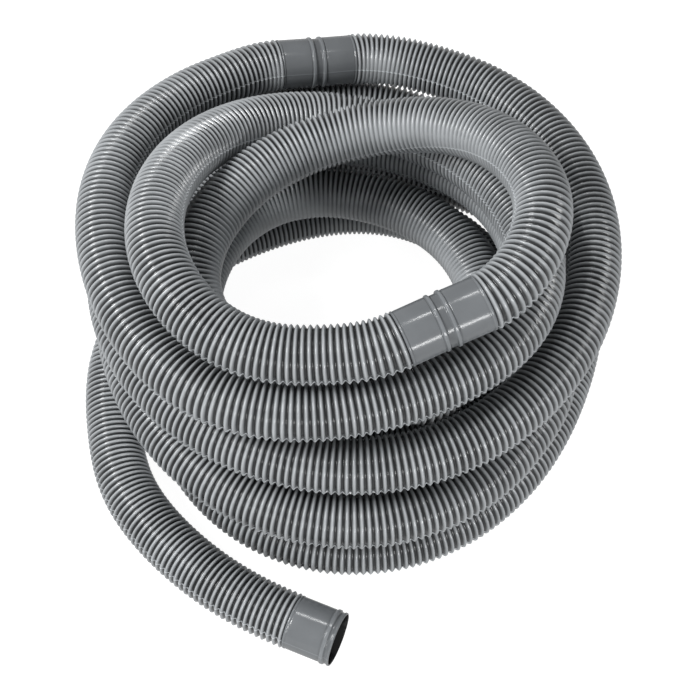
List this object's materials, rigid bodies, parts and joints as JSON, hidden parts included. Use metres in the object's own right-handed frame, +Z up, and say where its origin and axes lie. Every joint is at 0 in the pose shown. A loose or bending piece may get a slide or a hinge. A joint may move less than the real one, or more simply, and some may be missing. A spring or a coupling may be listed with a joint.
{
  "type": "pool vacuum hose",
  "caption": "Corrugated grey pool vacuum hose in a loose coil, with moulded double cuffs along it and an open cuff on its free end.",
  "frame": {"origin": "on the floor under the middle of the coil's box", "axes": "+Z up; the free end's mouth faces +X, at the -Y side of the coil"},
  "size_m": [0.4089, 0.4969, 0.242],
  "materials": {
    "hose_plastic": "satin grey polyethylene, moulded in fine rings",
    "cuff_plastic": "smooth satin grey polyethylene"
  },
  "bodies": {
    "coil": {"tail_flex": "hose_plastic", "hose_length_1": "hose_plastic", "double_cuff_1": "cuff_plastic", "hose_length_2": "hose_plastic", "double_cuff_2": "cuff_plastic", "hose_length_3": "hose_plastic", "double_cuff_3": "cuff_plastic", "hose_length_4": "hose_plastic", "double_cuff_4": "cuff_plastic", "hose_length_5": "hose_plastic", "hidden_end_cuff": "cuff_plastic"},
    "tail": {"tail_run": "hose_plastic", "tip_flex": "hose_plastic"},
    "tip": {"tail_tip": "hose_plastic", "tail_end_cuff": "cuff_plastic"}
  },
  "joints": [
    {"name": "tail_swing", "type": "hinge", "parent": "coil", "child": "tail", "pos_m": [-0.15795, -0.05989, 0.021], "axis": [0, 0, 1], "range_deg": [-30, 2], "deforming": ["tail_flex"]},
    {"name": "tip_lift", "type": "hinge", "parent": "tail", "child": "tip", "pos_m": [-0.05704, -0.20085, 0.021], "axis": [-0.4335, -0.9012, 0], "range_deg": [0, 30], "deforming": ["tip_flex"]}
  ]
}
